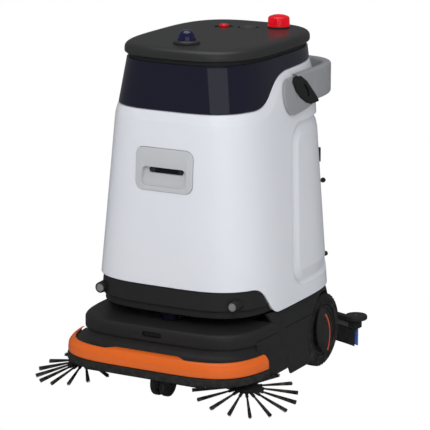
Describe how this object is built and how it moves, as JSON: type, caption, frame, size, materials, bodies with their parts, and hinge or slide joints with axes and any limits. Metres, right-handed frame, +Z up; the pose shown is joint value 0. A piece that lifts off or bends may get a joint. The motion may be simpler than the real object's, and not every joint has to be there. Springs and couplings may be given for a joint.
{
  "type": "robotic floor scrubber",
  "caption": "Self-driving floor scrubber with a tapered body, lidar lid, beacon, push handle, bumper, side brushes, scrub rollers and a curved rear squeegee.",
  "frame": {"origin": "on the floor, at the middle of the machine's bounding box", "axes": "+Z up, -Y the way the machine drives, +X its left side"},
  "size_m": [0.8904, 1.0156, 1.129],
  "materials": {
    "shell_white": "smooth satin-gloss moulded plastic",
    "visor_navy": "high-gloss dark navy panel",
    "black_plastic": "fine-grained black moulded plastic",
    "silver_plastic": "satin light grey plastic",
    "rubber_black": "matt black rubber",
    "tyre_black": "solid polyurethane tyre",
    "trim_orange": "satin orange plastic",
    "blade_blue": "blue polyurethane",
    "bristle_blue": "nylon bristle",
    "red_plastic": "glossy red plastic",
    "lens_red": "translucent red lens",
    "steel": "plated steel",
    "contact_metal": "plated spring contact",
    "tank_plastic": "rotomoulded tank"
  },
  "bodies": {
    "chassis": {"chassis_frame": "steel", "main_shell": "shell_white", "visor": "visor_navy", "tank_bay_rim": "black_plastic", "front_cowl": "black_plastic", "sonar_left": "silver_plastic", "sonar_right": "silver_plastic", "front_bezel": "silver_plastic", "depth_camera": "rubber_black", "nav_lidar": "visor_navy", "deck_cover": "black_plastic", "floor_sensor": "visor_navy", "side_skirt_left": "black_plastic", "side_skirt_right": "black_plastic", "charge_contacts": "contact_metal", "wheel_fairing_left": "black_plastic", "wheel_fairing_right": "black_plastic", "push_handle": "silver_plastic", "handle_camera_left": "rubber_black", "handle_camera_right": "rubber_black", "rear_knob_lower": "rubber_black", "rear_knob_upper": "rubber_black", "clean_tank": "tank_plastic", "recovery_tank": "tank_plastic", "battery_pack": "black_plastic", "vacuum_blower": "black_plastic", "drive_motor_left": "steel", "drive_motor_right": "steel", "side_brush_motor_left": "steel", "side_brush_motor_right": "steel"},
    "rear_door": {"rear_door": "shell_white"},
    "rear_latch": {"rear_latch": "rubber_black"},
    "drive_left": {"drive_wheel_left": "steel", "drive_tyre_left": "tyre_black"},
    "drive_right": {"drive_wheel_right": "steel", "drive_tyre_right": "tyre_black"},
    "caster_fork": {"caster_fork": "black_plastic"},
    "caster_wheel_left": {"caster_wheel_left": "tyre_black"},
    "caster_wheel_right": {"caster_wheel_right": "tyre_black"},
    "brush_deck": {"brush_deck": "black_plastic", "brush_motor": "steel", "dust_hopper": "black_plastic"},
    "roller_front": {"roller_front": "bristle_blue"},
    "roller_rear": {"roller_rear": "bristle_blue"},
    "side_brush_left": {"side_brush_left": "black_plastic"},
    "side_brush_right": {"side_brush_right": "black_plastic"},
    "bumper": {"bumper_strip": "rubber_black", "bumper_trim": "trim_orange"},
    "squeegee_arm": {"squeegee_arm": "steel"},
    "squeegee": {"squeegee_beam": "black_plastic", "squeegee_blade_front": "rubber_black", "squeegee_blade_rear": "blade_blue"},
    "squeegee_roller_left": {"squeegee_roller_left": "black_plastic"},
    "squeegee_roller_right": {"squeegee_roller_right": "black_plastic"},
    "lid": {"lid": "black_plastic", "lidar_dome": "visor_navy", "estop_collar": "rubber_black", "beacon_lens": "lens_red"},
    "estop_button": {"estop_button": "red_plastic"},
    "power_button": {"power_button": "black_plastic"}
  },
  "joints": [
    {"name": "lid_hinge", "type": "hinge", "parent": "chassis", "child": "lid", "pos_m": [0, 0.31, 1.05], "axis": [-1, 0, 0], "range_deg": [0, 75]},
    {"name": "estop_press", "type": "slide", "parent": "lid", "child": "estop_button", "axis": [0, 0, -1], "range_m": [0, 0.005], "stiffness_N_per_m": 600, "springref_m": -0.001},
    {"name": "power_press", "type": "slide", "parent": "lid", "child": "power_button", "axis": [0, 0, -1], "range_m": [0, 0.003], "stiffness_N_per_m": 500, "springref_m": -0.001},
    {"name": "drive_left_spin", "type": "hinge", "parent": "chassis", "child": "drive_left", "pos_m": [0.275, 0.168, 0.12], "axis": [1, 0, 0], "continuous": true},
    {"name": "drive_right_spin", "type": "hinge", "parent": "chassis", "child": "drive_right", "pos_m": [-0.275, 0.168, 0.12], "axis": [1, 0, 0], "continuous": true},
    {"name": "caster_swivel", "type": "hinge", "parent": "chassis", "child": "caster_fork", "pos_m": [0, -0.378, 0.1], "axis": [0, 0, 1], "continuous": true},
    {"name": "caster_left_roll", "type": "hinge", "parent": "caster_fork", "child": "caster_wheel_left", "pos_m": [0.016, -0.352, 0.042], "axis": [1, 0, 0], "continuous": true},
    {"name": "caster_right_roll", "type": "hinge", "parent": "caster_fork", "child": "caster_wheel_right", "pos_m": [-0.016, -0.352, 0.042], "axis": [1, 0, 0], "continuous": true},
    {"name": "brush_deck_lift", "type": "slide", "parent": "chassis", "child": "brush_deck", "axis": [0, 0, 1], "range_m": [0, 0.02]},
    {"name": "roller_front_spin", "type": "hinge", "parent": "brush_deck", "child": "roller_front", "pos_m": [0, -0.145, 0.049], "axis": [1, 0, 0], "continuous": true},
    {"name": "roller_rear_spin", "type": "hinge", "parent": "brush_deck", "child": "roller_rear", "pos_m": [0, -0.041, 0.049], "axis": [1, 0, 0], "continuous": true},
    {"name": "side_brush_left_spin", "type": "hinge", "parent": "chassis", "child": "side_brush_left", "pos_m": [0.288, -0.349, 0.071], "axis": [0.1473, -0.1178, 0.982], "continuous": true},
    {"name": "side_brush_right_spin", "type": "hinge", "parent": "chassis", "child": "side_brush_right", "pos_m": [-0.288, -0.349, 0.071], "axis": [-0.1473, -0.1178, 0.982], "continuous": true},
    {"name": "bumper_travel", "type": "slide", "parent": "chassis", "child": "bumper", "axis": [0, 1, 0], "range_m": [0, 0.008], "stiffness_N_per_m": 2500, "springref_m": -0.002},
    {"name": "squeegee_lift", "type": "hinge", "parent": "chassis", "child": "squeegee_arm", "pos_m": [0, 0.304, 0.108], "axis": [1, 0, 0], "range_deg": [0, 14]},
    {"name": "squeegee_swivel", "type": "hinge", "parent": "squeegee_arm", "child": "squeegee", "pos_m": [0, 0.484, 0.1], "axis": [0, 0, 1], "range_deg": [-10, 10]},
    {"name": "squeegee_roller_left_spin", "type": "hinge", "parent": "squeegee", "child": "squeegee_roller_left", "pos_m": [0.302, 0.4, 0.105], "axis": [0, 0, 1], "continuous": true},
    {"name": "squeegee_roller_right_spin", "type": "hinge", "parent": "squeegee", "child": "squeegee_roller_right", "pos_m": [-0.302, 0.4, 0.105], "axis": [0, 0, 1], "continuous": true},
    {"name": "rear_door_hinge", "type": "hinge", "parent": "chassis", "child": "rear_door", "pos_m": [-0.223, 0.2955, 0.3], "axis": [0, -0.0768, 0.997], "range_deg": [0, 100]},
    {"name": "rear_latch_turn", "type": "hinge", "parent": "rear_door", "child": "rear_latch", "pos_m": [0.203, 0.2828, 0.668], "axis": [0.6105, 0.792, 0], "range_deg": [0, 90]}
  ],
  "couplings": [
    {"joint": "roller_rear_spin", "follows": "roller_front_spin", "ratio": -1}
  ]
}
